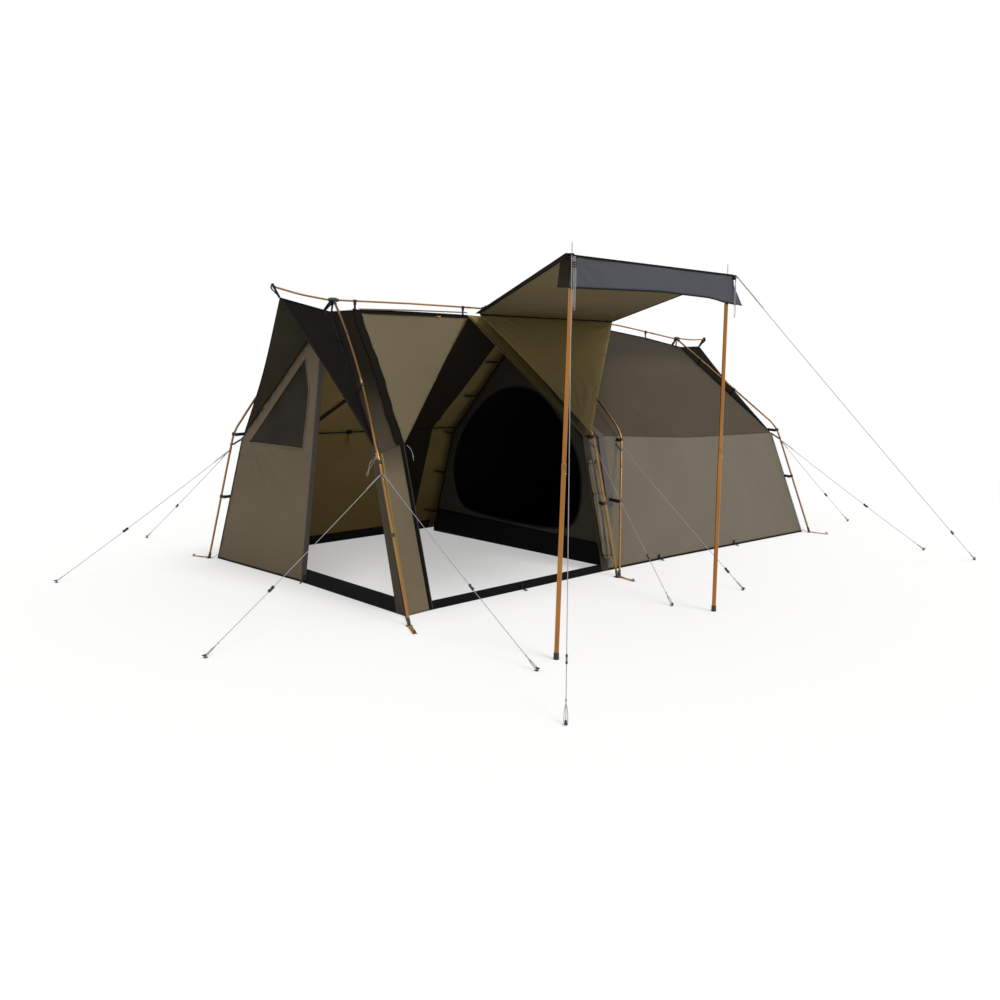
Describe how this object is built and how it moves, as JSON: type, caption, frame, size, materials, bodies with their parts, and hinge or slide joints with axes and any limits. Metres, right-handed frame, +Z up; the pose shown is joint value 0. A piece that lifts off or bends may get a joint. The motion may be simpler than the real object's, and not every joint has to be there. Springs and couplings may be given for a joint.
{
  "type": "two-room family tent",
  "caption": "Two-room family tent with an outside pole frame, peaked visors, a raised door panel on two poles, an inner room and guylines.",
  "frame": {"origin": "on the ground, below the middle of the canopy's length and between its front and back feet", "axes": "+X along the ridge towards the lower end, +Y towards the closed back wall, +Z up; the raised door panel is on the -Y side"},
  "size_m": [7.1574, 5.8219, 2.2762],
  "materials": {
    "black_moulding": "satin black moulding",
    "gold_anodised": "gold anodised, satin",
    "tan_webbing": "woven webbing",
    "taupe_fabric": "coated woven fabric, matte",
    "olive_fabric": "coated woven fabric, matte",
    "dark_fabric": "coated woven fabric, matte",
    "black_fabric": "coated woven fabric, matte",
    "slate_fabric": "coated woven fabric, matte",
    "inner_fabric": "breathable woven fabric, matte",
    "grey_mesh": "fine mesh",
    "zip_metal": "dark coated metal",
    "pale_cord": "braided cord"
  },
  "bodies": {
    "tent": {"hub_left": "black_moulding", "hub_right": "black_moulding", "hub_middle_left": "black_moulding", "hub_middle_right": "black_moulding", "ridge_pole": "gold_anodised", "ridge_tip_left": "gold_anodised", "ridge_tip_right": "gold_anodised", "arch_front_left": "gold_anodised", "arch_back_left": "gold_anodised", "arch_front_right": "gold_anodised", "arch_back_right": "gold_anodised", "middle_arch_front_left": "gold_anodised", "middle_arch_front_right": "gold_anodised", "middle_arch_back_left": "gold_anodised", "middle_arch_back_right": "gold_anodised", "foot_front_left": "tan_webbing", "foot_back_left": "tan_webbing", "foot_front_right": "tan_webbing", "foot_back_right": "tan_webbing", "foot_front_middle": "tan_webbing", "foot_back_middle": "tan_webbing", "roof_front_left": "taupe_fabric", "roof_front_right": "taupe_fabric", "wall_front_right": "taupe_fabric", "door_jamb_right": "taupe_fabric", "pillar_front_left": "taupe_fabric", "end_wall_left": "taupe_fabric", "end_wall_right": "taupe_fabric", "pillar_end_left": "taupe_fabric", "roof_back": "olive_fabric", "wall_back": "olive_fabric", "door_panel_gusset": "olive_fabric", "visor_front_left": "dark_fabric", "visor_back_left": "dark_fabric", "visor_front_right": "dark_fabric", "visor_back_right": "dark_fabric", "threshold_front": "black_fabric", "threshold_left": "black_fabric", "inner_front": "inner_fabric", "inner_side_front": "inner_fabric", "inner_side_back": "inner_fabric", "inner_floor": "inner_fabric", "window_mesh_left": "grey_mesh", "door_roll": "grey_mesh", "guyline_back_left_a": "pale_cord", "guyline_back_left_b": "pale_cord", "guyline_front_left_a": "pale_cord", "guyline_front_left_b": "pale_cord", "guyline_front_middle_a": "pale_cord", "guyline_front_middle_b": "pale_cord", "guyline_front_right_a": "pale_cord", "guyline_front_right_b": "pale_cord", "guyline_awning_near": "pale_cord", "guyline_awning_far": "pale_cord"},
    "awning": {"awning_panel": "taupe_fabric"},
    "valance_flap": {"valance": "slate_fabric"},
    "near_pole": {"awning_pole_near": "gold_anodised"},
    "far_pole": {"awning_pole_far": "gold_anodised"},
    "front_zip_pull": {"zip_slider_front": "zip_metal"},
    "end_zip_pull": {"zip_slider_end": "zip_metal"}
  },
  "joints": [
    {"name": "awning_lift", "type": "hinge", "parent": "tent", "child": "awning", "pos_m": [0.035, -0.16, 2.045], "axis": [-1, 0, 0], "range_deg": [0, 10]},
    {"name": "valance_swing", "type": "hinge", "parent": "awning", "child": "valance_flap", "pos_m": [-1.48, -2.5026, 2.1993], "axis": [-1, 0, 0], "range_deg": [0, 30]},
    {"name": "near_pole_tilt", "type": "hinge", "parent": "awning", "child": "near_pole", "pos_m": [-2.205, -2.475, 2.18624], "axis": [-1, 0, 0], "range_deg": [0, 4.5]},
    {"name": "far_pole_tilt", "type": "hinge", "parent": "awning", "child": "far_pole", "pos_m": [-0.745, -2.475, 2.18624], "axis": [-1, 0, 0], "range_deg": [0, 4.5]},
    {"name": "front_zip", "type": "slide", "parent": "tent", "child": "front_zip_pull", "axis": [-0.048, 0.2061, 0.9773], "range_m": [0, 0.75]},
    {"name": "end_zip", "type": "slide", "parent": "tent", "child": "end_zip_pull", "axis": [0.1004, -0.0396, 0.9942], "range_m": [0, 0.75]}
  ]
}
